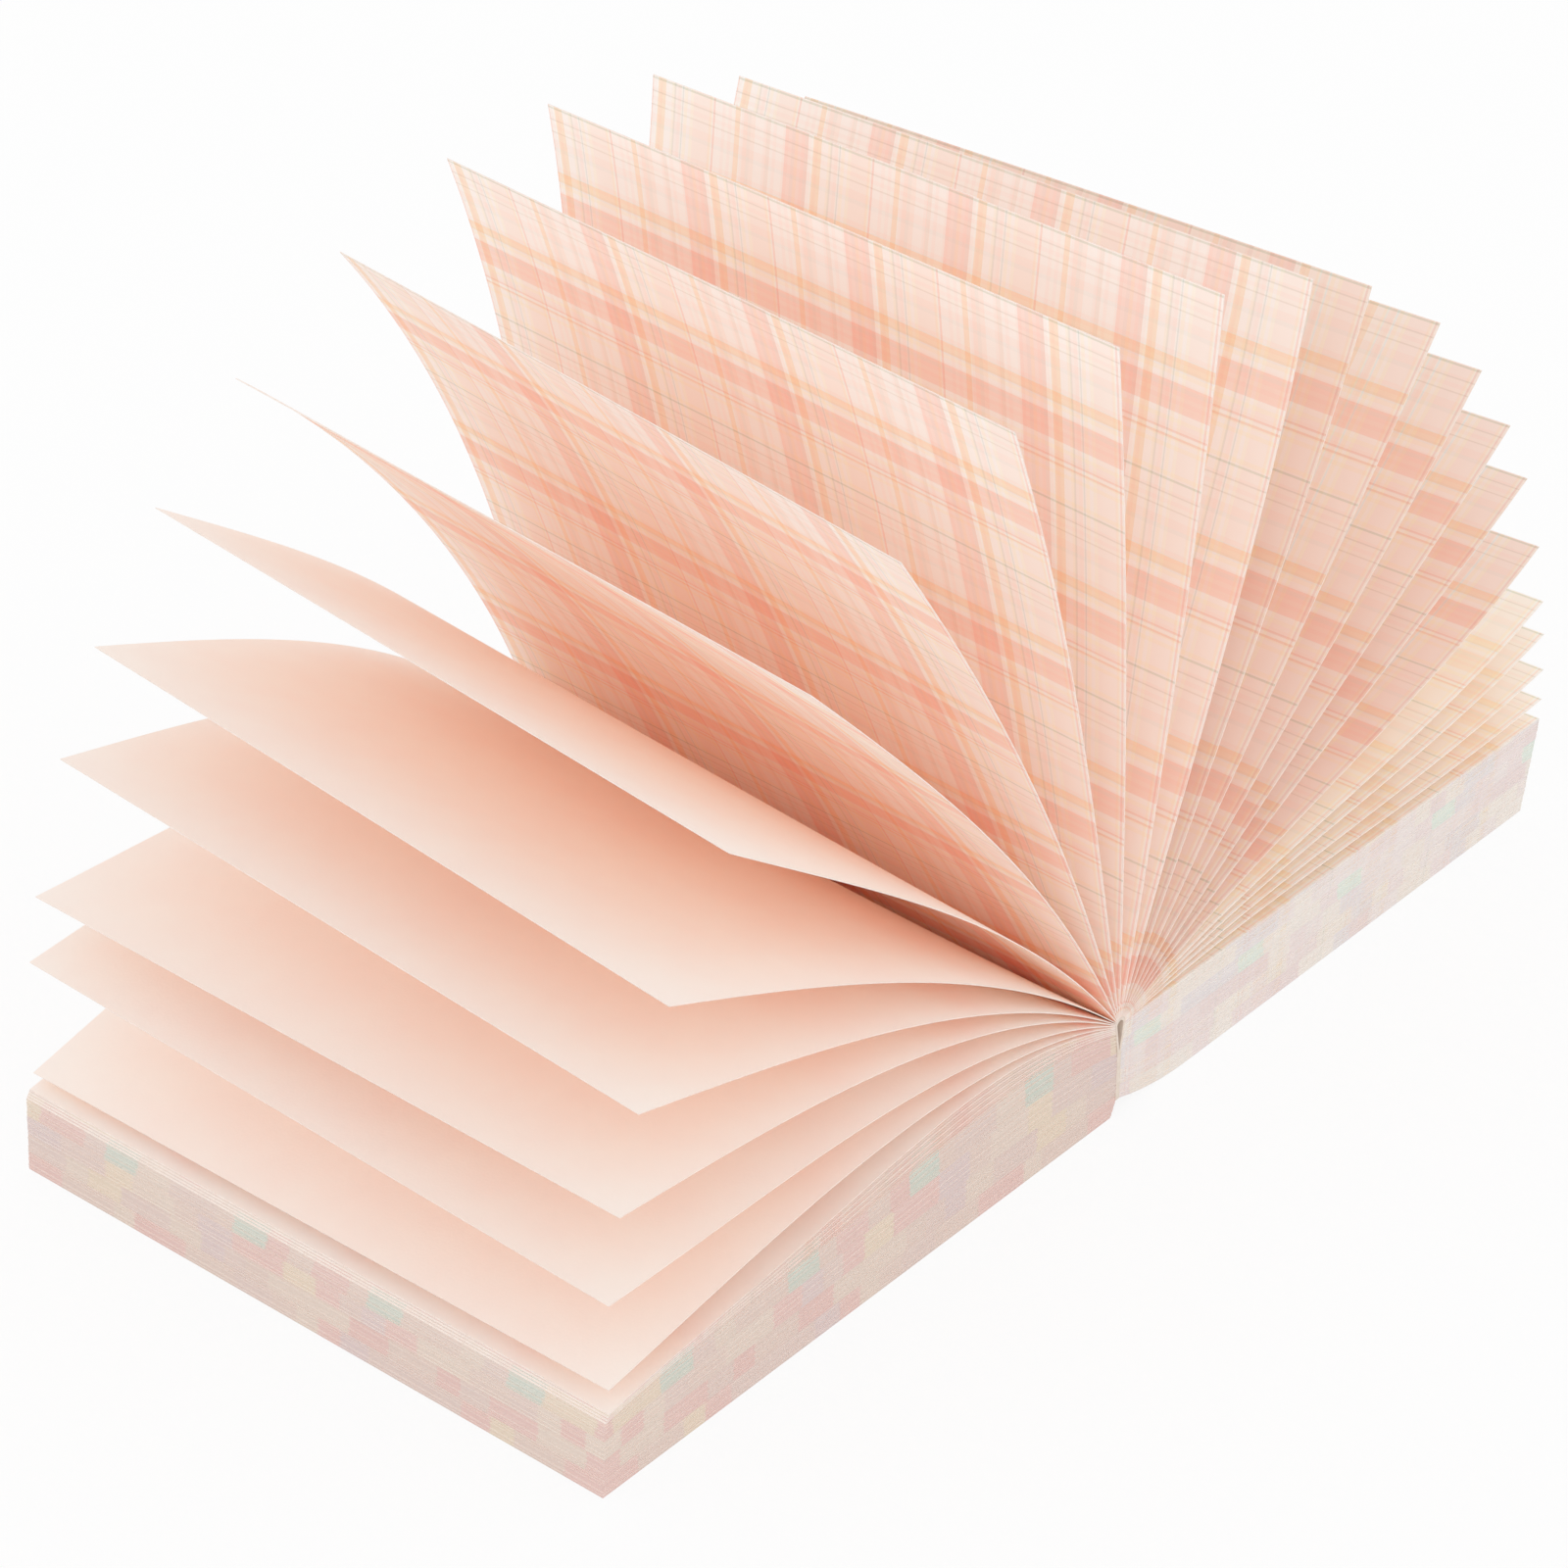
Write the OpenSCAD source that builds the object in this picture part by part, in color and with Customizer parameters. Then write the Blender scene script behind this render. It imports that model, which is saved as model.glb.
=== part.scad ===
/* [Pages] */
// Width of a page, from the glued edge to the fore edge
page_w = 100; // [80:1:150]
// Length of a page along the glued edge
page_l = 100; // [80:1:150]
// Thickness of one sheet
paper_t = 0.12; // [0.08:0.01:0.18]

/* [Glued edge] */
// Height of each half of the pad at its glued edge
spine_h = 14.2; // [12:0.2:24]
// Thickness of the dried padding glue
glue_t = 0.4; // [0.2:0.05:0.6]
// Height up to which the two folded halves of the glued edge touch
glue_shut_h = 10; // [6:0.5:11]
// Clearance between neighbouring leaves where they enter the glue
root_gap = 0.035; // [0.03:0.005:0.08]

/* [Left half] */
// How far the top of the left block sits back at the fore edge
left_lean = 0.8; // [0:0.1:3]
// Width of the pulled-in corner under the glued edge
left_corner_w = 1; // [0.2:0.1:3]
// Height of the pulled-in corner under the glued edge
left_corner_h = 2.3; // [0.5:0.1:5]
// Number of loose sheets lying on the left block
loose_count = 8; // [2:1:10]
// How high the topmost loose sheet bows above the block
loose_rise = 2.8; // [0.5:0.1:3]
// How far each loose sheet sits back from the one under it
loose_step = 0.1; // [0:0.02:0.3]

/* [Right half] */
// How far the top of the right block lies below the fold
right_drop = 0.1; // [0.05:0.05:1]
// How far the bottom sheets sit back at the fore edge
right_lean = 3; // [0:0.1:5]
// Height by which the bottom curls up at the glued edge
right_curl_h = 2.3; // [0:0.1:4]
// Length of the curled stretch of the bottom
right_curl_w = 15; // [5:1:30]

/* [Fan] */
// Clearance between the leaves and the glue that holds them
leaf_seat = 0.03; // [0.02:0.01:0.1]

/* [Hidden] */
// One row for each fanned leaf, from the lowest on the left over to the lowest on the
// right. A row has the leaf's slope at its root, middle and tip, first along the near
// side edge and then along the far one, in degrees round from the right-hand table.
LEAF_SLOPES = [
    [[155, 183, 189], [151, 184, 194]],
    [[151, 176, 179], [142, 174, 185]],
    [[146, 168, 176], [134, 170, 177]],
    [[143, 160, 166], [126, 158, 168]],
    [[138, 152, 158], [119, 149, 159]],
    [[127, 142, 145], [110, 138, 146]],
    [[116, 130, 135], [104, 124, 141]],
    [[109, 118, 125], [97, 110, 128]],
    [[101, 104, 112], [90, 98, 111]],
    [[91, 93, 97], [79, 87, 100]],
    [[78, 81, 85], [70, 75, 85]],
    [[69, 68, 78], [62, 64, 73]],
    [[61, 60, 67], [55, 55, 61]],
    [[50, 49, 51], [46, 46, 47]],
    [[42, 39, 44], [39, 37, 41]],
    [[34, 31, 34], [32, 29, 31]],
    [[28, 24, 27], [27, 22, 25]],
    [[23, 14, 25], [22, 12, 22]],
    [[18, 8, 19], [18, 7, 17]],
    [[15, 5, 14], [15, 4, 13]],
    [[11, 2, 9], [11, 2, 8]],
    [[7, 0, 4], [7, 0, 4]],
];
leaf_count = len(LEAF_SLOPES);

// Pulls on the top line of the left block, spread evenly from the glued edge to the
// fore edge, as shares of the page width above the block's height at the glue
LEFT_TOP_PULLS = [0, 0.065, 0.025, -0.02, 0.015, -0.025];

// Steps along a leaf from root to tip, and along the glued edge
leaf_steps = 16;
leaf_rows = 4;
// Steps along the curved tops and bottoms of the blocks and loose sheets
block_steps = 20;
curl_steps = 6;
// Steps round the rounded top of the glue
arc_steps = 24;

// First and last leaf on the rounded top of the glue, in degrees
first_leaf_deg = 178;
last_leaf_deg = 2;
fan_arc = (first_leaf_deg - last_leaf_deg) * PI / 180;
leaf_pitch = paper_t + root_gap;
glue_r = leaf_pitch * (leaf_count - 1) / fan_arc;
slit_r = max(glue_r - glue_t, 0.2);
leaf_w = page_w - glue_r - leaf_seat;

// Stacked sheets are a hair apart, so that their faces never share a plane
sheet_gap = 0.01;
sheet_pitch = paper_t + sheet_gap;
loose_base = spine_h - loose_count * sheet_pitch - paper_t;
right_h = spine_h - right_drop;

paper_back = "#f6e3d9";
paper_print = "#f4cfc0";
block_colour = "#e8d5cb";
glue_colour = "#eee4d8";
// A leaf whose middle leans further left than this shows its blank back from the front
back_shows_deg = 136;

function leaf_name(i) = str("leaf_", i + 1);
function loose_name(i) = str("loose_sheet_", i + 1);

// Distance of the glue's outer face from the fold at height z
function glue_face(z) =
    glue_t + (glue_r - glue_t) * max(0, min(1, (z - glue_shut_h) / (spine_h - glue_shut_h)));

function choose(n, k) = k == 0 ? 1 : choose(n, k - 1) * (n - k + 1) / k;

// The top of the left block runs from the glue to the fore edge
left_glue_x = glue_face(loose_base);
left_run = page_w - left_lean - left_glue_x;

// Height of that top at share u of its run
function left_top(u) =
    let (n = len(LEFT_TOP_PULLS) - 1)
    loose_base + page_w * [for (k = [0:n])
        LEFT_TOP_PULLS[k] * choose(n, k) * pow(u, k) * pow(1 - u, n - k)] * [for (k = [0:n]) 1];

// Share of loose_rise that a bowed loose sheet has at share u of that run
function bow(u) = pow(sin(180 * pow(u, 0.7)), 2);

// Slope at share s along a leaf, from its slopes at root, middle and tip
function slope(bend, s) =
    bend[0] * (2 * s - 1) * (s - 1) + bend[1] * 4 * s * (1 - s) + bend[2] * s * (2 * s - 1);

// Where leaf i enters the glue
function leaf_root(i) =
    let (a = first_leaf_deg + (last_leaf_deg - first_leaf_deg) * i / (leaf_count - 1))
    [0, spine_h] + (glue_r + leaf_seat) * [cos(a), sin(a)];

// Points along a leaf of one bend, each with its slope: [x, z, slope]
function leaf_line(root, bend) = [
    for (
        i = 0, p = root;
        i <= leaf_steps;
        a = slope(bend, (i + 0.5) / leaf_steps),
        p = p + leaf_w / leaf_steps * [cos(a), sin(a)],
        i = i + 1
    ) [p[0], p[1], slope(bend, i / leaf_steps)]
];

// Extrudes an outline in X and Z along the whole glued edge
module along_spine() {
    translate([0, page_l / 2, 0])
        rotate([90, 0, 0])
            linear_extrude(height = page_l)
                children();
}

// One thin curved leaf. Each row of points follows the leaf from root to tip at its own
// place along the glued edge, so the bend changes from the near side to the far one.
module leaf_sheet(root, near_bend, far_bend) {
    rows = [for (r = [0:leaf_rows]) leaf_line(root, near_bend + (far_bend - near_bend) * r / leaf_rows)];
    per_row = leaf_steps + 1;
    per_side = per_row * (leaf_rows + 1);
    points = [
        for (side = [1, -1])
            for (r = [0:leaf_rows])
                for (q = rows[r])
                    [
                        q[0] - side * paper_t / 2 * sin(q[2]),
                        page_l * (r / leaf_rows - 0.5),
                        q[1] + side * paper_t / 2 * cos(q[2])
                    ]
    ];
    upper = [
        for (r = [0:leaf_rows - 1])
            for (i = [0:leaf_steps - 1])
                let (a = r * per_row + i, b = a + per_row)
                each [[a, b, a + 1], [b, b + 1, a + 1]]
    ];
    lower = [for (f = upper) [f[2] + per_side, f[1] + per_side, f[0] + per_side]];
    rim = concat(
        [for (i = [0:leaf_steps - 1]) i],
        [for (r = [0:leaf_rows - 1]) r * per_row + leaf_steps],
        [for (i = [leaf_steps:-1:1]) leaf_rows * per_row + i],
        [for (r = [leaf_rows:-1:1]) r * per_row]
    );
    edges = [
        for (k = [0:len(rim) - 1])
            let (a = rim[k], b = rim[(k + 1) % len(rim)])
            each [[a, b, b + per_side], [a, b + per_side, a + per_side]]
    ];
    polyhedron(points = points, faces = concat(upper, lower, edges));
}

// Dried padding glue along the folded edge. The two halves of the strip stand back to
// back, and part near the top, where the strip bends over a narrow slit.
module glue_spine() {
    color(glue_colour)
        along_spine()
            difference() {
                polygon(concat(
                    [[-glue_t, right_curl_h], [glue_t, right_curl_h], [glue_t, glue_shut_h]],
                    [for (k = [0:arc_steps])
                        [0, spine_h] + glue_r * [cos(180 * k / arc_steps), sin(180 * k / arc_steps)]],
                    [[-glue_t, glue_shut_h]]
                ));
                polygon(concat(
                    [[0, glue_shut_h]],
                    [for (k = [0:arc_steps])
                        [0, spine_h] + slit_r * [cos(180 * k / arc_steps), sin(180 * k / arc_steps)]]
                ));
            }
}

// The turned sheets, packed solid. Their top bulges near the glue, where the sheets
// climb to the fold, and settles towards the fore edge.
module left_block() {
    color(block_colour)
        along_spine()
            polygon(concat(
                [
                    [-page_w, 0],
                    [-glue_t - left_corner_w, 0],
                    [-glue_t, left_corner_h],
                    [-glue_t, glue_shut_h]
                ],
                [for (k = [0:block_steps])
                    let (u = k / block_steps)
                    [-left_glue_x - left_run * u, left_top(u)]]
            ));
}

// The sheets still to be turned, packed solid. Their bottom curls up at the glue, and
// the lower sheets sit back at the fore edge.
module right_block() {
    color(block_colour)
        along_spine()
            polygon(concat(
                [for (k = [0:curl_steps])
                    let (x = glue_t + (right_curl_w - glue_t) * k / curl_steps)
                    [x, right_curl_h * pow((right_curl_w - x) / (right_curl_w - glue_t), 2)]],
                [
                    [page_w - right_lean, 0],
                    [page_w, right_h],
                    [glue_face(right_h), right_h],
                    [glue_t, glue_shut_h]
                ]
            ));
}

// One of the sheets that lie bowed on the left block, counted from the lowest
module loose_sheet(i) {
    share = (i + 1) / loose_count;
    base = sheet_gap + i * sheet_pitch;
    first_u = (glue_face(loose_base + base + paper_t) + leaf_seat - left_glue_x) / left_run;
    last_u = 1 - (i + 1) * loose_step / left_run;
    line = [for (k = [0:block_steps])
        let (u = max(first_u, min(last_u, k / block_steps)))
        [-left_glue_x - left_run * u, left_top(u) + base + share * loose_rise * bow(u)]];
    color(paper_back)
        along_spine()
            polygon(concat(
                line,
                [for (k = [block_steps:-1:0]) line[k] + [0, paper_t]]
            ));
}

// One leaf of the fan, counted from the lowest on the left
module fan_leaf(i) {
    color(LEAF_SLOPES[i][0][1] > back_shows_deg ? paper_back : paper_print)
        leaf_sheet(leaf_root(i), LEAF_SLOPES[i][0], LEAF_SLOPES[i][1]);
}

glue_spine();
left_block();
right_block();
for (i = [0:loose_count - 1]) loose_sheet(i);
for (i = [0:leaf_count - 1]) fan_leaf(i);
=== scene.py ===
import math

import bpy
import numpy as np
from mathutils import Matrix, Vector


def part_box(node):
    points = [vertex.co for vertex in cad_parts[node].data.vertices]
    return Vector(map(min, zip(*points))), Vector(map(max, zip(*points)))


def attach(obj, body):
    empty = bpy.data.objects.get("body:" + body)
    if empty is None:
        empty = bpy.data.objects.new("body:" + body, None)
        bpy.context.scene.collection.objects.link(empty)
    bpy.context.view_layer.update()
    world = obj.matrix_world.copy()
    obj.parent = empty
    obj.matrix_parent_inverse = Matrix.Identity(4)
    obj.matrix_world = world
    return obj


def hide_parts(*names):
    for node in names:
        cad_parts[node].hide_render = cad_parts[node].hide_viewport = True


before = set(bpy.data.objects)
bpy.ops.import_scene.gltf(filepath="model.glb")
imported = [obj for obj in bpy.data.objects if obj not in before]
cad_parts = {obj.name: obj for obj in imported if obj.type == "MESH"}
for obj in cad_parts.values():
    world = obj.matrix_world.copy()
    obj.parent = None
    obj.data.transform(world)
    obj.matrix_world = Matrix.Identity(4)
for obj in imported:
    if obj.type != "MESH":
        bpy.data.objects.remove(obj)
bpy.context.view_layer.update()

# The left half: turned sheets of thin single-sided scrapbook paper, packed face down. They
# were cut in one stroke of a guillotine, so the print that bleeds off each sheet shows on
# the cut edges as soft dashes. Near the top, air has come in between every few sheets.
MM = 0.001
PAPER_T = 0.12 * MM
left_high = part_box("left_block")[1]
right_low, right_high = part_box("right_block")
glue_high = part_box("glue_spine")[1]
PAGE_W = right_high.x
PAGE_L = right_high.y - right_low.y
GLUE_R = glue_high.x
SPINE_H = glue_high.z - GLUE_R
GLUE_T = -left_high.x
# Height up to which the two folded halves of the glued edge touch
GLUE_SHUT_H = 10 * MM
SHEET_GAP = 0.01 * MM
SHEET_PITCH = PAPER_T + SHEET_GAP
LOOSE_COUNT = 8
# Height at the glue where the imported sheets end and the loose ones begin
LOOSE_BASE = SPINE_H - LOOSE_COUNT * SHEET_PITCH - PAPER_T
LEFT_LEAN = 0.8 * MM
LEFT_CORNER_W = 1 * MM
LEFT_CORNER_H = 2.3 * MM
# Pulls on the line of the top, from the glue to the fore edge, as shares of the page width
LEFT_TOP_PULLS = [0, 0.065, 0.025, -0.02, 0.015, -0.025]
# How much faster than the height this bulge fades towards the lowest sheet
BULGE_FADE = 1.6
# Share of the height above which air has come in, and the widest gap that it leaves
AIRED_FROM = 0.8
AIR_GAP = 0.14 * MM
FEWEST_BETWEEN_GAPS = 2
MOST_BETWEEN_GAPS = 5
# How far a cut edge strays from the block's side
CUT_STRAY = 0.12 * MM
BLOCK_STEPS = 40
SHARP_DEG = 40
rng = np.random.default_rng(7)


def linear(code):
    """Turns an sRGB hex colour into linear red, green, blue and alpha."""
    parts = [int(code[i:i + 2], 16) / 255 for i in (1, 3, 5)]
    bent = [c / 12.92 if c <= 0.04045 else ((c + 0.055) / 1.055) ** 2.4 for c in parts]
    return (*bent, 1.0)


def put(tree, kind, sockets=None, **settings):
    """Adds one node. sockets gives named or numbered inputs a value or another's output."""
    node = tree.nodes.new(kind)
    for name, value in settings.items():
        setattr(node, name, value)
    for name, value in (sockets or {}).items():
        if isinstance(value, bpy.types.NodeSocket):
            tree.links.new(value, node.inputs[name])
        else:
            node.inputs[name].default_value = value
    return node


def banded(tree, fac, stops, how="LINEAR"):
    """Turns a value into the colours of stops, each a place from 0 to 1 and a hex colour."""
    node = put(tree, "ShaderNodeValToRGB", {"Fac": fac})
    band = node.color_ramp
    band.interpolation = how
    while len(band.elements) < len(stops):
        band.elements.new(1)
    for element, (place, code) in zip(band.elements, stops):
        element.position = place
        element.color = linear(code)
    return node.outputs["Color"]


def overprint(tree, under, over):
    """Lays one ink over another, so that both darken the paper."""
    node = put(tree, "ShaderNodeMix", data_type="RGBA", blend_type="MULTIPLY")
    node.inputs[0].default_value = 1
    tree.links.new(under, node.inputs[6])
    tree.links.new(over, node.inputs[7])
    return node.outputs[2]


GRAIN = 0.4 * MM
GRAIN_DEPTH = 0.02 * MM


def paper(name, colour_of, tooth=0):
    """Thin uncoated paper: matt, and hardly glossy even at a low angle.

    colour_of builds its colour in the node tree. tooth is the strength of its fine
    texture, which is 0.1 mm across. It is drawn 0.4 mm across, or it would be too fine to
    show. Ink and the guillotine press it flat."""
    finish = bpy.data.materials.new(name)
    finish.use_nodes = True
    tree = finish.node_tree
    tree.nodes.clear()
    colour = colour_of(tree)
    body = put(tree, "ShaderNodeBsdfPrincipled", {
        "Base Color": colour, "Roughness": 0.85, "IOR": 1.47, "Specular IOR Level": 0.2})
    if tooth:
        spot = put(tree, "ShaderNodeTexCoord").outputs["Object"]
        grain = put(tree, "ShaderNodeTexNoise", {
            "Vector": spot, "Scale": 1 / GRAIN, "Detail": 0})
        bump = put(tree, "ShaderNodeBump", {
            "Height": grain.outputs["Fac"], "Strength": tooth, "Distance": GRAIN_DEPTH})
        tree.links.new(bump.outputs["Normal"], body.inputs["Normal"])
    put(tree, "ShaderNodeOutputMaterial", {"Surface": body.outputs["BSDF"]})
    return finish


CLOUD = 6 * MM
SPECK = 0.8 * MM


def stock(tree):
    """The unprinted side: a warm white stock with faint clouds of fibre, 6 mm across."""
    spot = put(tree, "ShaderNodeTexCoord").outputs["Object"]
    clouds = put(tree, "ShaderNodeTexNoise", {"Vector": spot, "Scale": 1 / CLOUD, "Detail": 1})
    return banded(tree, clouds.outputs["Fac"], [(0.3, "#fdf3ec"), (0.7, "#fdf5ee")])


def core(tree):
    """The cut through one sheet, a plain pale line without ink. Its fibres are a few
    hundredths of a millimetre across, and are drawn as specks of 0.8 mm so that they show."""
    spot = put(tree, "ShaderNodeTexCoord").outputs["Object"]
    specks = put(tree, "ShaderNodeTexNoise", {"Vector": spot, "Scale": 1 / SPECK, "Detail": 0})
    return banded(tree, specks.outputs["Fac"], [(0.3, "#f2e4db"), (0.7, "#f8ede6")])


DESIGN_SHEETS = 21
DASH = 5.4 * MM
# How unevenly long the dashes are, and how many of them one design is shifted by
DASH_SWAY = 0.45
DESIGN_SHIFT = 3.7
RAGGED = 0.5 * MM
MINT_EVERY = 23.2 * MM
MINT_SHARE = 0.25
MINT_DESIGN = 3


def bled_edges(inks, mint):
    """Cut edges of many sheets. Each design fills a run of about twenty sheets, and its
    stripes bleed off as dashes about 5 mm long, a little ragged from sheet to sheet. One
    design has wide mint stripes as well."""
    def colour(tree):
        spot = put(tree, "ShaderNodeTexCoord").outputs["Object"]
        parts = put(tree, "ShaderNodeSeparateXYZ", {"Vector": spot})
        round_corner = put(tree, "ShaderNodeMath", {
            0: parts.outputs["X"], 1: parts.outputs["Y"]}, operation="ADD").outputs[0]
        number = put(tree, "ShaderNodeAttribute", attribute_name="sheet_number").outputs["Fac"]
        chance = put(tree, "ShaderNodeTexWhiteNoise", {"W": number},
                     noise_dimensions="1D").outputs["Value"]
        ragged = put(tree, "ShaderNodeMath", {
            0: chance, 1: RAGGED, 2: round_corner}, operation="MULTIPLY_ADD").outputs[0]
        runs = put(tree, "ShaderNodeMath", {
            0: number, 1: DESIGN_SHEETS}, operation="DIVIDE").outputs[0]
        design = put(tree, "ShaderNodeMath", {0: runs}, operation="FLOOR").outputs[0]
        lengths = put(tree, "ShaderNodeMath", {0: ragged, 1: DASH}, operation="DIVIDE").outputs[0]
        offset = put(tree, "ShaderNodeMath", {
            0: design, 1: DESIGN_SHIFT, 2: lengths}, operation="MULTIPLY_ADD").outputs[0]
        sway = put(tree, "ShaderNodeMath", {0: offset}, operation="SINE").outputs[0]
        uneven = put(tree, "ShaderNodeMath", {
            0: sway, 1: DASH_SWAY, 2: offset}, operation="MULTIPLY_ADD").outputs[0]
        dash = put(tree, "ShaderNodeMath", {0: uneven}, operation="FLOOR").outputs[0]
        cell = put(tree, "ShaderNodeCombineXYZ", {"X": dash, "Y": design}).outputs["Vector"]
        pick = put(tree, "ShaderNodeTexWhiteNoise", {"Vector": cell},
                   noise_dimensions="2D").outputs["Value"]
        dashes = banded(tree, pick, inks, "CONSTANT")
        plaids = put(tree, "ShaderNodeMath", {
            0: ragged, 1: MINT_EVERY}, operation="DIVIDE").outputs[0]
        along = put(tree, "ShaderNodeMath", {0: plaids}, operation="FRACT").outputs[0]
        in_stripe = put(tree, "ShaderNodeMath", {
            0: along, 1: MINT_SHARE}, operation="LESS_THAN").outputs[0]
        in_design = put(tree, "ShaderNodeMath", {
            0: design, 1: MINT_DESIGN, 2: 0.5}, operation="COMPARE").outputs[0]
        shown = put(tree, "ShaderNodeMath", {
            0: in_stripe, 1: in_design}, operation="MULTIPLY").outputs[0]
        minted = put(tree, "ShaderNodeMix", {0: shown, 6: dashes, 7: linear(mint)},
                     data_type="RGBA").outputs[2]
        shade = banded(tree, chance, [(0, "#faf8f7"), (1, "#ffffff")])
        return overprint(tree, minted, shade)

    return colour


blank_side = paper("uncoated_paper_blank_side", stock, tooth=0.5)
cut_core = paper("cut_paper_core", core)
left_edges = paper("guillotined_paper_edges", bled_edges([
    (0.0, "#e3d2c9"), (0.22, "#e5d7cc"), (0.4, "#e6cac4"), (0.58, "#e2d1ca"),
    (0.74, "#e7d9c7"), (0.81, "#dfcfcd"), (0.89, "#e5c8c2")], "#d2d9cf"))


def glue_face(z):
    """How far the glue's outer face stands from the fold at height z."""
    share = min(1, max(0, (z - GLUE_SHUT_H) / (SPINE_H - GLUE_SHUT_H)))
    return GLUE_T + (GLUE_R - GLUE_T) * share


LEFT_GLUE_X = glue_face(LOOSE_BASE)
LEFT_RUN = PAGE_W - LEFT_LEAN - LEFT_GLUE_X


def left_top(u):
    """Height of the left block's top at share u from the glue to the fore edge."""
    n = len(LEFT_TOP_PULLS) - 1
    pull = sum(p * math.comb(n, k) * u ** k * (1 - u) ** (n - k)
               for k, p in enumerate(LEFT_TOP_PULLS))
    return LOOSE_BASE + PAGE_W * pull


def closed_sheets(name, sheets, finishes, first_number=0):
    """One mesh of closed sheets, each given as two grids of points: its printed side and
    its blank side, row by row from the near side to the far, and from the glue outwards.

    finishes are the printed side, the blank side and the cut rim. The print's coordinates
    are metres from the far side and from the fore edge. The sheets are numbered upwards
    from first_number, so that edge dashes can run on from one piece to the next."""
    points, quads, kinds, numbers, places = [], [], [], [], []
    for number, (printed, blank) in enumerate(sheets, first_number):
        rows, steps = printed.shape[:2]
        front = np.arange(rows * steps).reshape(rows, steps) + sum(map(len, points))
        to_back = rows * steps
        back = front + to_back
        ring = np.concatenate([front[0, :-1], front[:-1, -1], front[-1, :0:-1], front[:0:-1, 0]])
        after = np.roll(ring, -1)
        faces = [
            np.stack([front[:-1, :-1], front[:-1, 1:], front[1:, 1:], front[1:, :-1]], -1),
            np.stack([back[:-1, :-1], back[1:, :-1], back[1:, 1:], back[:-1, 1:]], -1),
            np.stack([ring, ring + to_back, after + to_back, after], -1)]
        for kind, group in enumerate(faces):
            quads.append(group.reshape(-1, 4))
            kinds.append(np.full(len(quads[-1]), kind))
            numbers.append(np.full(len(quads[-1]), number))
        points += [printed.reshape(-1, 3), blank.reshape(-1, 3)]
        from_far = np.linspace(PAGE_L, 0, rows)[:, None].repeat(steps, 1)
        from_fore = PAGE_W * np.linspace(1, 0, steps)[None, :].repeat(rows, 0)
        places += [np.stack([from_far, from_fore], -1).reshape(-1, 2)] * 2
    quads, kinds = np.concatenate(quads), np.concatenate(kinds)
    mesh = bpy.data.meshes.new(name)
    mesh.from_pydata(np.concatenate(points).tolist(), [], quads.tolist())
    mesh.polygons.foreach_set("material_index", kinds.astype(np.int32))
    sheet_number = mesh.attributes.new("sheet_number", "FLOAT", "FACE")
    sheet_number.data.foreach_set("value", np.concatenate(numbers).astype(np.float32))
    place = mesh.uv_layers.new(name="sheet")
    place.data.foreach_set("uv", np.concatenate(places)[quads.ravel()].ravel())
    mesh.shade_smooth()
    mesh.set_sharp_from_angle(angle=math.radians(SHARP_DEG))
    for finish in finishes:
        mesh.materials.append(finish)
    return mesh


def place_piece(name, mesh, node):
    """Puts a finished mesh in the scene in place of the CAD node that it stands for."""
    piece = bpy.data.objects.new(name, mesh)
    bpy.context.scene.collection.objects.link(piece)
    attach(piece, "root")
    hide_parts(node)


def stack_levels(height, aired_from):
    """Where each sheet of a block starts and ends, as shares of the block's height.

    From aired_from up, a wider gap follows every two to five sheets."""
    starts, ends, left_in_bundle = [0], [PAPER_T], 0
    while ends[-1] + PAPER_T + SHEET_GAP < height:
        gap = SHEET_GAP
        if left_in_bundle == 0:
            left_in_bundle = rng.integers(FEWEST_BETWEEN_GAPS, MOST_BETWEEN_GAPS + 1)
            if ends[-1] > aired_from * height:
                gap = AIR_GAP * rng.uniform(0.5, 1)
        left_in_bundle -= 1
        starts.append(ends[-1] + gap)
        ends.append(starts[-1] + PAPER_T)
    return list(zip(np.array(starts) / ends[-1], np.array(ends) / ends[-1]))


def block_sheets(levels, spine_x, outer_x, height):
    """The sheets of a block, each with its underside first. Each of the three functions
    takes a share of the stack, and height also a share of the way to the fore edge."""
    sheets = []
    u = np.linspace(0, 1, BLOCK_STEPS + 1)
    for level in levels:
        near, far, fore = rng.uniform(0, CUT_STRAY, 3)
        grids = []
        for share in level:
            outer = outer_x(share)
            outer -= math.copysign(fore, outer)
            x = spine_x(share) + (outer - spine_x(share)) * u
            z = np.array([height(share, v) for v in u])
            grids.append(np.array([
                np.stack([x, np.full_like(x, y), z], -1)
                for y in (-PAGE_L / 2 + near, PAGE_L / 2 - far)]))
        sheets.append(grids)
    return sheets


def left_spine_x(share):
    z = share * LOOSE_BASE
    corner = LEFT_CORNER_W * max(0, 1 - z / LEFT_CORNER_H)
    return -glue_face(z) - corner


def left_outer_x(share):
    return -(PAGE_W - LEFT_LEAN * share)


def left_height(share, u):
    return share * left_top(1) + share ** BULGE_FADE * (left_top(u) - left_top(1))


# Prints are made in the section of the first sheet that shows one, so the turned sheets
# here carry only the blank side, and the sides that nobody sees stay blank too.
left_sheets = block_sheets(
    stack_levels(left_top(1), AIRED_FROM), left_spine_x, left_outer_x, left_height)
place_piece("left_pages", closed_sheets(
    "left_pages", left_sheets, [blank_side, blank_side, left_edges]),
    "left_block")

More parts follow.
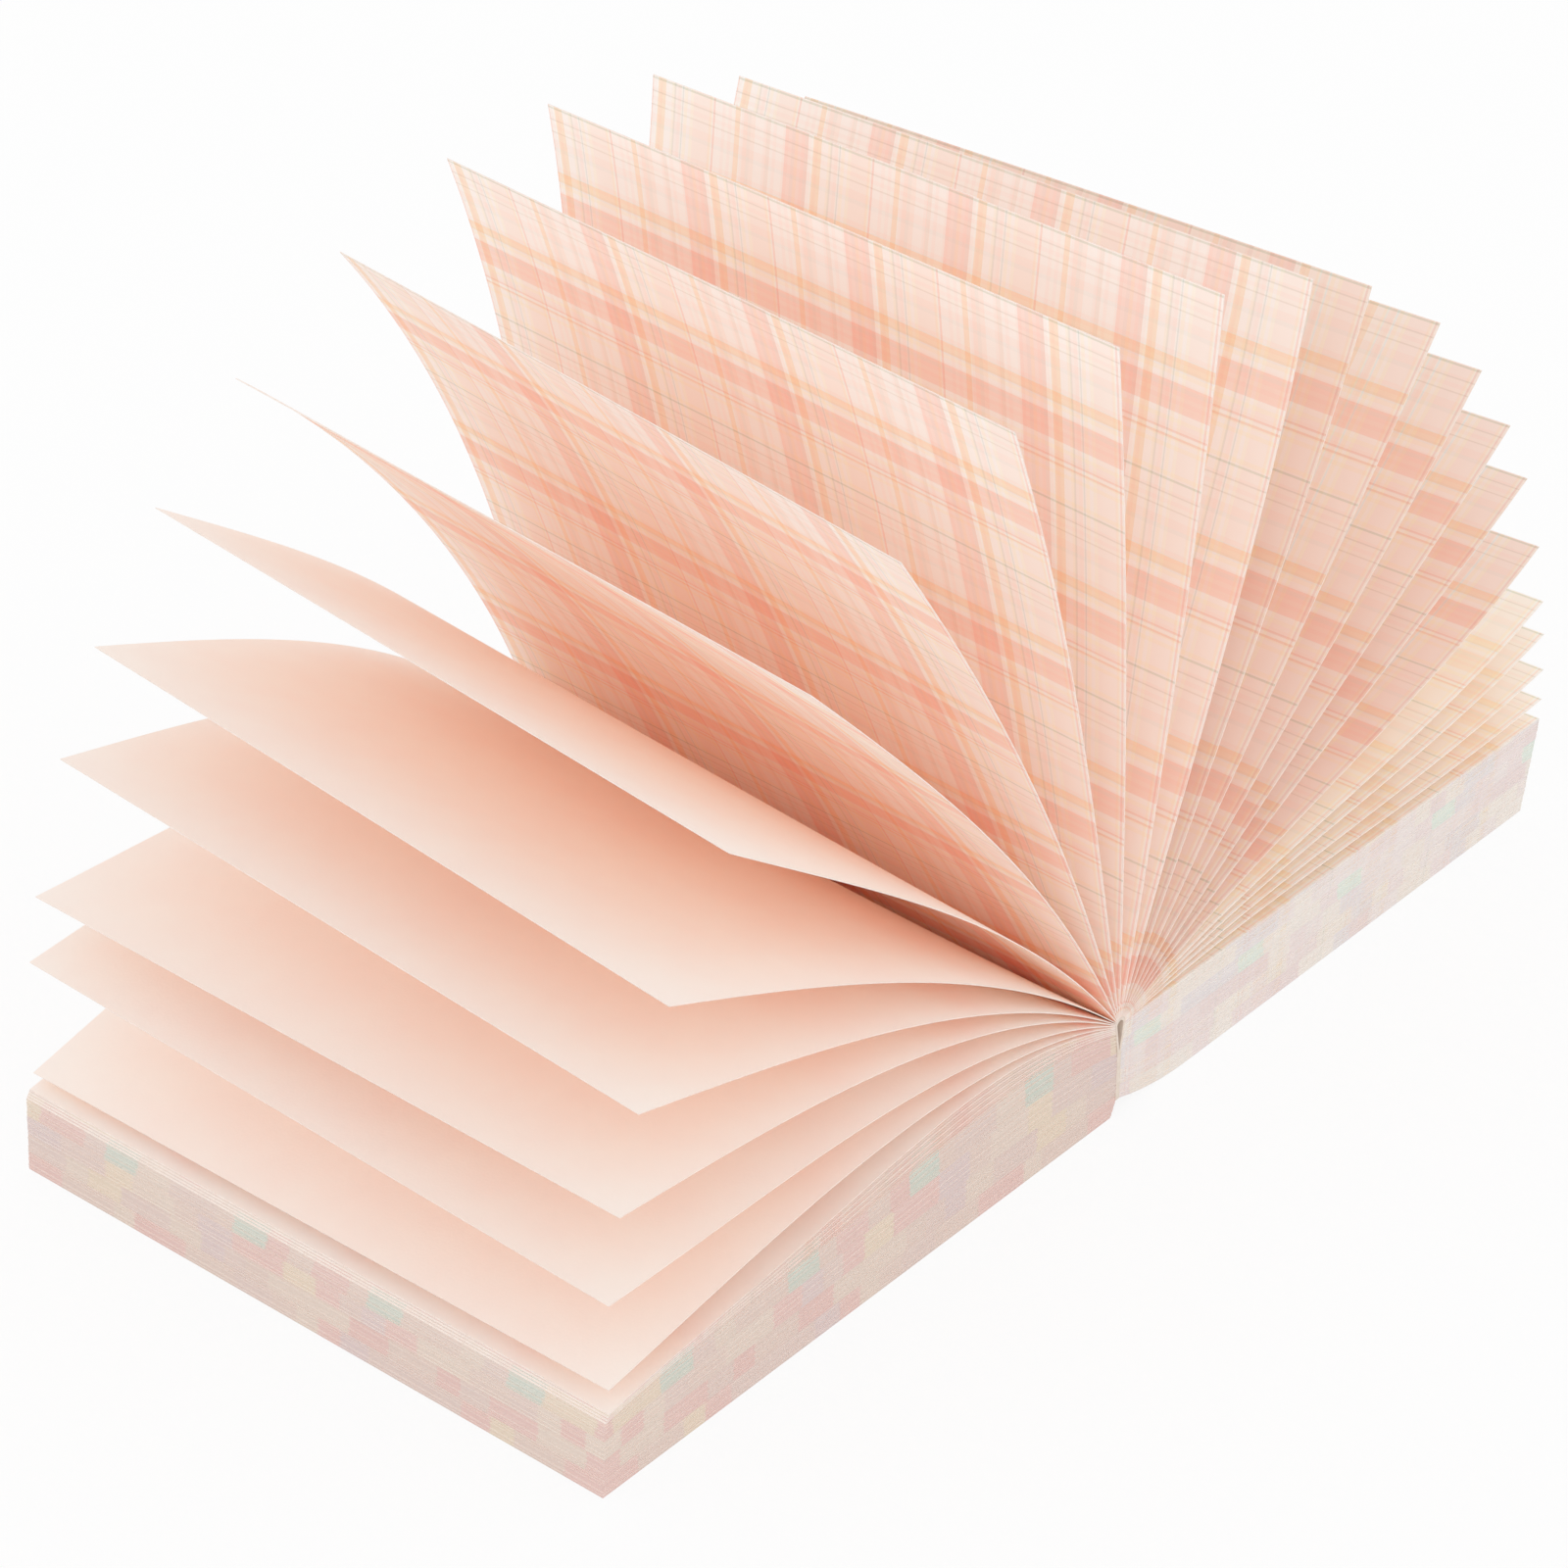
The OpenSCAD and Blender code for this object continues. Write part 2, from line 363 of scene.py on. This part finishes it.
# The right half: the sheets still to be turned, packed face up, with a butter yellow plaid
# on top. The design is printed with thin inks on the warm stock, in stripes that cross.
# The plaid's own sizes are in millimetres, measured on a page.
RIGHT_LEAN = 3 * MM
RIGHT_CURL_W = 15 * MM
RIGHT_CURL_H = 2.3 * MM
WARP_PERIOD = 29.2
WARP_FIRST = -4.0
WEFT_PERIOD = 26.0
WEFT_FIRST = 10.3
# The woven threads that the print imitates, as wide as they are printed
THREAD = 0.6
THREAD_INKS = [(0, "#fffefd"), (0.45, "#fffaf8"), (0.6, "#fffefc"), (0.7, "#fffcf4"),
               (0.85, "#fbfbfa"), (0.93, "#fff7f4")]
SAME_PLACE = 1e-6


def stripes(tree, distance, period, first, ground, inks):
    """Repeats a row of stripes along a distance, with fine threads all over.

    period and first, where the row starts, are in millimetres, and so are the place and
    width of each stripe in inks."""
    start = put(tree, "ShaderNodeMath", {0: distance, 1: first * MM}, operation="SUBTRACT")
    turns = put(tree, "ShaderNodeMath", {0: start.outputs[0], 1: period * MM}, operation="DIVIDE")
    share = put(tree, "ShaderNodeMath", {0: turns.outputs[0]}, operation="FRACT").outputs[0]
    stops = []
    for place, width, ink in inks:
        if stops and abs(stops[-1][0] - place / period) < SAME_PLACE:
            stops.pop()
        stops += [(place / period, ink), ((place + width) / period, ground)]
    bands = banded(tree, share, stops, "CONSTANT")
    count = put(tree, "ShaderNodeMath", {0: share, 1: period / THREAD}, operation="MULTIPLY")
    thread = put(tree, "ShaderNodeMath", {0: count.outputs[0]}, operation="FLOOR").outputs[0]
    chance = put(tree, "ShaderNodeTexWhiteNoise", {"W": thread}, noise_dimensions="1D")
    return overprint(tree, bands, banded(tree, chance.outputs["Value"], THREAD_INKS, "CONSTANT"))


def plaid(ground, wide, bright, warm, soft, line, weft_wide, weft_warm):
    """A woven-look plaid in one colourway: a ground colour, wide and bright stripes, a
    warm stripe beside each, softer bands and a thin dark line. The last two inks are the
    wide and the warm stripe of the weft."""
    warp = [(0, 4.2, wide), (4.2, 0.9, bright), (5.1, 1.5, warm), (8.2, 0.25, "#f4f2ee"),
            (9.7, 0.3, "#eff0ed"), (11.9, 3.4, soft), (15.7, 0.3, line), (19.8, 0.9, warm),
            (21.4, 2.1, soft), (25.6, 0.8, soft)]
    weft = [(0, 1.5, weft_warm), (1.7, 1.3, "#ffffff"), (3.2, 3.8, weft_wide),
            (7.0, 1.0, "#ffffff"), (9.4, 0.25, "#fbebe6"), (10.25, 0.25, "#fbebe6"),
            (15.8, 0.3, "#e9eee8"), (17.7, 0.25, "#f2f3f1"), (19.65, 0.25, "#f4f2ef"),
            (24.3, 1.7, "#ffffff")]

    def colour(tree):
        spot = put(tree, "ShaderNodeUVMap", uv_map="sheet").outputs["UV"]
        parts = put(tree, "ShaderNodeSeparateXYZ", {"Vector": spot})
        across = stripes(tree, parts.outputs["X"], WARP_PERIOD, WARP_FIRST, ground, warp)
        along = stripes(tree, parts.outputs["Y"], WEFT_PERIOD, WEFT_FIRST, "#ffffff", weft)
        return overprint(tree, across, along)

    return colour


# Thin inks tint the paper and leave it matt, so the eye sees coloured paper and no gloss.
# The upright leaves are peach and the lowest butter. The ones that lean right are a tan rose
# that is also darker, which paints the shade their neighbours cast on them.
peach_print = paper("peach_plaid_on_uncoated_paper", plaid(
    "#fffbf8", "#ffeae3", "#fffefc", "#ffeedd", "#fff5ef", "#fce6df", "#ffebe5", "#fff2e2"))
# The rose's ground and stripes are darker than the peach's, as painted shade for the leaves that lean
# right.
rose_print_and_painted_shade = paper("rose_plaid_and_painted_shade_on_uncoated_paper", plaid(
    "#faeee5", "#fae1d8", "#fbf3ed", "#fae5d2", "#fae8df", "#f4dcd2", "#ffebe5", "#fff1e1"))
butter_print = paper("butter_plaid_on_uncoated_paper", plaid(
    "#fffefa", "#fff6e6", "#fffffd", "#fff3df", "#fff9f0", "#fdefe4", "#fff8f0", "#fff7e7"))
right_edges = paper("guillotined_pale_paper_edges", bled_edges([
    (0.0, "#efe7e5"), (0.25, "#f1ebe5"), (0.45, "#eee3e2"), (0.62, "#f0e9e2"),
    (0.76, "#e9e4e5"), (0.9, "#ecdfde")], "#e3ece4"))


def right_spine_x(share):
    return glue_face(share * right_high.z)


def right_outer_x(share):
    return PAGE_W - RIGHT_LEAN * (1 - share)


def right_height(share, u):
    curl = RIGHT_CURL_H * max(0, 1 - u * PAGE_W / RIGHT_CURL_W) ** 2
    return curl + share * (right_high.z - curl)


right_sheets = block_sheets(
    stack_levels(right_high.z, 1), right_spine_x, right_outer_x, right_height)
place_piece("right_pages", closed_sheets(
    "right_pages", [(upper, lower) for lower, upper in right_sheets],
    [butter_print, blank_side, right_edges]), "right_block")

# The padding glue is a brushed strip of white dispersion glue, dried clear enough to look
# like pale wax. It was brushed on while the pad was clamped, and folds back on itself here.
# The brush left long shallow strokes, which the eye sees as a soft waxy sheen.
BRUSH_W = 1 * MM
BRUSH_L = 12 * MM
BRUSH_DEPTH = 0.05 * MM
glue = bpy.data.materials.new("dried_padding_glue")
glue.use_nodes = True
glue_tree = glue.node_tree
glue_tree.nodes.clear()
glue_spot = put(glue_tree, "ShaderNodeTexCoord").outputs["Object"]
glue_strokes = put(glue_tree, "ShaderNodeMapping", {
    "Vector": glue_spot, "Scale": (1 / BRUSH_W, 1 / BRUSH_L, 1 / BRUSH_W)})
glue_brush = put(glue_tree, "ShaderNodeTexNoise", {
    "Vector": glue_strokes.outputs["Vector"], "Scale": 1})
glue_colour = banded(glue_tree, glue_brush.outputs["Fac"], [(0.3, "#e2d3c5"), (0.7, "#ecdfd2")])
glue_bump = put(glue_tree, "ShaderNodeBump", {
    "Height": glue_brush.outputs["Fac"], "Strength": 0.5, "Distance": BRUSH_DEPTH})
glue_body = put(glue_tree, "ShaderNodeBsdfPrincipled", {
    "Base Color": glue_colour, "Normal": glue_bump.outputs["Normal"], "Roughness": 0.45,
    "IOR": 1.47})
put(glue_tree, "ShaderNodeOutputMaterial", {"Surface": glue_body.outputs["BSDF"]})
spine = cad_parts["glue_spine"]
spine.data.materials.clear()
spine.data.materials.append(glue)

# Eight loose sheets lie on the left half. They bow up a little where they climb to the
# fold, and each one sits a hair back from the one below it. Every other one has a pale cut
# rim that shows as a white line. The others keep the block's tinted edge, which paints the
# shade that falls in the gaps between the cut edges.
LOOSE_RISE = 2.8 * MM
LOOSE_STEP = 0.1 * MM
LEAF_SEAT = 0.03 * MM
LOOSE_STEPS = 80


def bow(u):
    """Share of the full rise that a bowed sheet has at share u of its run."""
    return math.sin(math.pi * u ** 0.7) ** 2


for i in range(LOOSE_COUNT):
    lift = SHEET_GAP + i * SHEET_PITCH
    rise = (i + 1) / LOOSE_COUNT * LOOSE_RISE
    first_u = (glue_face(LOOSE_BASE + lift + PAPER_T) + LEAF_SEAT - LEFT_GLUE_X) / LEFT_RUN
    last_u = 1 - (i + 1) * LOOSE_STEP / LEFT_RUN
    run = np.linspace(first_u, last_u, LOOSE_STEPS + 1)
    z = np.array([left_top(u) + lift + rise * bow(u) for u in run])
    x = -LEFT_GLUE_X - LEFT_RUN * run
    lower = np.array([np.stack([x, np.full_like(x, y), z], -1) for y in (-PAGE_L / 2, PAGE_L / 2)])
    upper = lower + [0, 0, PAPER_T]
    # The tinted rims between the pale ones are painted shade for the gaps between cut edges.
    rim = cut_core if i % 2 else left_edges
    place_piece(f"loose_paper_{i + 1}", closed_sheets(
        f"loose_paper_{i + 1}", [(lower, upper)], [peach_print, blank_side, rim],
        len(left_sheets) + i), f"loose_sheet_{i + 1}")

# The fan is twenty-two single leaves, glued in at one edge and sprung open. Each is bent
# by the glue at its root and by its own weight, more so at the side that was pulled round.
LEAF_SLOPES = [
    [[155, 183, 189], [151, 184, 194]],
    [[151, 176, 179], [142, 174, 185]],
    [[146, 168, 176], [134, 170, 177]],
    [[143, 160, 166], [126, 158, 168]],
    [[138, 152, 158], [119, 149, 159]],
    [[127, 142, 145], [110, 138, 146]],
    [[116, 130, 135], [104, 124, 141]],
    [[109, 118, 125], [97, 110, 128]],
    [[101, 104, 112], [90, 98, 111]],
    [[91, 93, 97], [79, 87, 100]],
    [[78, 81, 85], [70, 75, 85]],
    [[69, 68, 78], [62, 64, 73]],
    [[61, 60, 67], [55, 55, 61]],
    [[50, 49, 51], [46, 46, 47]],
    [[42, 39, 44], [39, 37, 41]],
    [[34, 31, 34], [32, 29, 31]],
    [[28, 24, 27], [27, 22, 25]],
    [[23, 14, 25], [22, 12, 22]],
    [[18, 8, 19], [18, 7, 17]],
    [[15, 5, 14], [15, 4, 13]],
    [[11, 2, 9], [11, 2, 8]],
    [[7, 0, 4], [7, 0, 4]],
]
LEAF_COUNT = len(LEAF_SLOPES)
LEAF_W = PAGE_W - GLUE_R - LEAF_SEAT
LEAF_STEPS = 64
LEAF_ROWS = 24
FIRST_LEAF_DEG = 178
LAST_LEAF_DEG = 2
ROSE_AND_PAINTED_SHADE_FROM = 13
BUTTER_FROM = 19


def leaf_slope(bend, s):
    """Slope at share s along a leaf, from its slopes at root, middle and tip."""
    return bend[0] * (2 * s - 1) * (s - 1) + bend[1] * 4 * s * (1 - s) + bend[2] * s * (2 * s - 1)


def leaf_sides(i):
    """The printed side and the blank side of leaf i, as grids of points."""
    near, far = np.array(LEAF_SLOPES[i], float)
    turn = math.radians(FIRST_LEAF_DEG + (LAST_LEAF_DEG - FIRST_LEAF_DEG) * i / (LEAF_COUNT - 1))
    root_x = (GLUE_R + LEAF_SEAT) * math.cos(turn)
    root_z = SPINE_H + (GLUE_R + LEAF_SEAT) * math.sin(turn)
    step = LEAF_W / LEAF_STEPS
    s = np.arange(LEAF_STEPS + 1) / LEAF_STEPS
    printed, blank = [], []
    for row in np.linspace(0, 1, LEAF_ROWS + 1):
        bend = near + (far - near) * row
        mid = np.radians(leaf_slope(bend, s[:-1] + 0.5 / LEAF_STEPS))
        x = root_x + step * np.concatenate([[0], np.cumsum(np.cos(mid))])
        z = root_z + step * np.concatenate([[0], np.cumsum(np.sin(mid))])
        y = np.full_like(x, PAGE_L * (row - 0.5))
        slope = np.radians(leaf_slope(bend, s))
        out = np.stack([-np.sin(slope), 0 * slope, np.cos(slope)], -1) * PAPER_T / 2
        line = np.stack([x, y, z], -1)
        printed.append(line + out)
        blank.append(line - out)
    return np.array(printed), np.array(blank)


for i in range(LEAF_COUNT):
    front = peach_print
    # From this leaf on, the darker rose print paints the shade cast by the neighbouring leaves.
    if i + 1 >= ROSE_AND_PAINTED_SHADE_FROM:
        front = rose_print_and_painted_shade
    if i + 1 >= BUTTER_FROM:
        front = butter_print
    place_piece(f"paper_leaf_{i + 1}", closed_sheets(
        f"paper_leaf_{i + 1}", [leaf_sides(i)], [front, blank_side, cut_core]),
        f"leaf_{i + 1}")

# The pad lies on a sweep of matt white paper, rolled out flat under it. The sweep is seen
# as plain white, and still keeps the pad's soft shadow.
FLOOR_SIZE = 12
FLOOR_DROP = 0.05 * MM
PLAIN_SHARE = 0.88
floor_mesh = bpy.data.meshes.new("floor")
half = FLOOR_SIZE / 2
floor_mesh.from_pydata(
    [(-half, -half, 0), (half, -half, 0), (half, half, 0), (-half, half, 0)], [], [(0, 1, 2, 3)])
floor = bpy.data.objects.new("floor", floor_mesh)
floor.location.z = -FLOOR_DROP
bpy.context.scene.collection.objects.link(floor)
sweep = bpy.data.materials.new("white_paper_sweep")
sweep.use_nodes = True
sweep_tree = sweep.node_tree
sweep_tree.nodes.clear()
sweep_body = put(sweep_tree, "ShaderNodeBsdfDiffuse", {"Color": linear("#f6f6f6")})
sweep_white = put(sweep_tree, "ShaderNodeEmission", {"Color": (1, 1, 1, 1), "Strength": 1})
sweep_ray = put(sweep_tree, "ShaderNodeLightPath")
sweep_mirrored = put(sweep_tree, "ShaderNodeMath", {
    0: sweep_ray.outputs["Is Camera Ray"], 1: sweep_ray.outputs["Is Glossy Ray"]},
    operation="MAXIMUM").outputs[0]
sweep_seen = put(sweep_tree, "ShaderNodeMath", {
    0: sweep_mirrored, 1: sweep_ray.outputs["Is Transmission Ray"]}, operation="MAXIMUM").outputs[0]
sweep_share = put(sweep_tree, "ShaderNodeMath", {
    0: sweep_seen, 1: PLAIN_SHARE}, operation="MULTIPLY")
sweep_both = put(sweep_tree, "ShaderNodeMixShader", {
    0: sweep_share.outputs[0], 1: sweep_body.outputs["BSDF"], 2: sweep_white.outputs["Emission"]})
put(sweep_tree, "ShaderNodeOutputMaterial", {"Surface": sweep_both.outputs["Shader"]})
floor_mesh.materials.append(sweep)

# A white light tent all round, brighter at table height than overhead, so that its light
# reaches in between the leaves. It goes from leaf to leaf many times there, and turns peach.
world = bpy.data.worlds.new("white_light_tent")
bpy.context.scene.world = world
world.use_nodes = True
world_tree = world.node_tree
world_tree.nodes.clear()
LOW_LIGHT = 1.27
HIGH_LIGHT = 0.83
towards = put(world_tree, "ShaderNodeTexCoord").outputs["Generated"]
height_of_ray = put(world_tree, "ShaderNodeSeparateXYZ", {"Vector": towards}).outputs["Z"]
tent_light = put(world_tree, "ShaderNodeMapRange", {
    "Value": height_of_ray, "To Min": LOW_LIGHT, "To Max": HIGH_LIGHT}).outputs["Result"]
room = put(world_tree, "ShaderNodeBackground", {"Color": (1, 1, 1, 1), "Strength": tent_light})
seen = put(world_tree, "ShaderNodeBackground", {"Color": (1, 1, 1, 1), "Strength": 1})
world_ray = put(world_tree, "ShaderNodeLightPath")
mirrored = put(world_tree, "ShaderNodeMath", {
    0: world_ray.outputs["Is Camera Ray"], 1: world_ray.outputs["Is Glossy Ray"]},
    operation="MAXIMUM").outputs[0]
plain_white = put(world_tree, "ShaderNodeMath", {
    0: mirrored, 1: world_ray.outputs["Is Transmission Ray"]}, operation="MAXIMUM")
backdrop = put(world_tree, "ShaderNodeMixShader", {
    0: plain_white.outputs[0], 1: room.outputs["Background"], 2: seen.outputs["Background"]})
put(world_tree, "ShaderNodeOutputWorld", {"Surface": backdrop.outputs["Shader"]})
world.cycles.sampling_method = "NONE"
BOUNCES = 24
bpy.context.scene.cycles.diffuse_bounces = BOUNCES
bpy.context.scene.cycles.max_bounces = BOUNCES

# The camera stands off the near left corner, as the photograph was taken, with a lens long
# enough to keep the far edges nearly parallel.
CAMERA_AT = Vector((-402.902, -337.138, 359.010)) * MM
CAMERA_AZIMUTH = math.radians(-49.493)
CAMERA_HEIGHT = math.radians(31.996)
CAMERA_ROLL = math.radians(-0.243)
CAMERA_LENS = 106.64
CAMERA_SENSOR = 36
back = Vector((
    math.sin(CAMERA_AZIMUTH) * math.cos(CAMERA_HEIGHT),
    -math.cos(CAMERA_AZIMUTH) * math.cos(CAMERA_HEIGHT),
    math.sin(CAMERA_HEIGHT)))
level = Vector((math.cos(CAMERA_AZIMUTH), math.sin(CAMERA_AZIMUTH), 0))
upward = back.cross(level)
side = level * math.cos(CAMERA_ROLL) + upward * math.sin(CAMERA_ROLL)
upward = back.cross(side)
lens = bpy.data.cameras.new("camera")
lens.lens = CAMERA_LENS
lens.sensor_width = CAMERA_SENSOR
camera = bpy.data.objects.new("camera", lens)
camera.matrix_world = Matrix.Translation(CAMERA_AT) @ Matrix((side, upward, back)).transposed().to_4x4()
bpy.context.scene.collection.objects.link(camera)
bpy.context.scene.camera = camera
bpy.context.scene.view_settings.view_transform = "Standard"
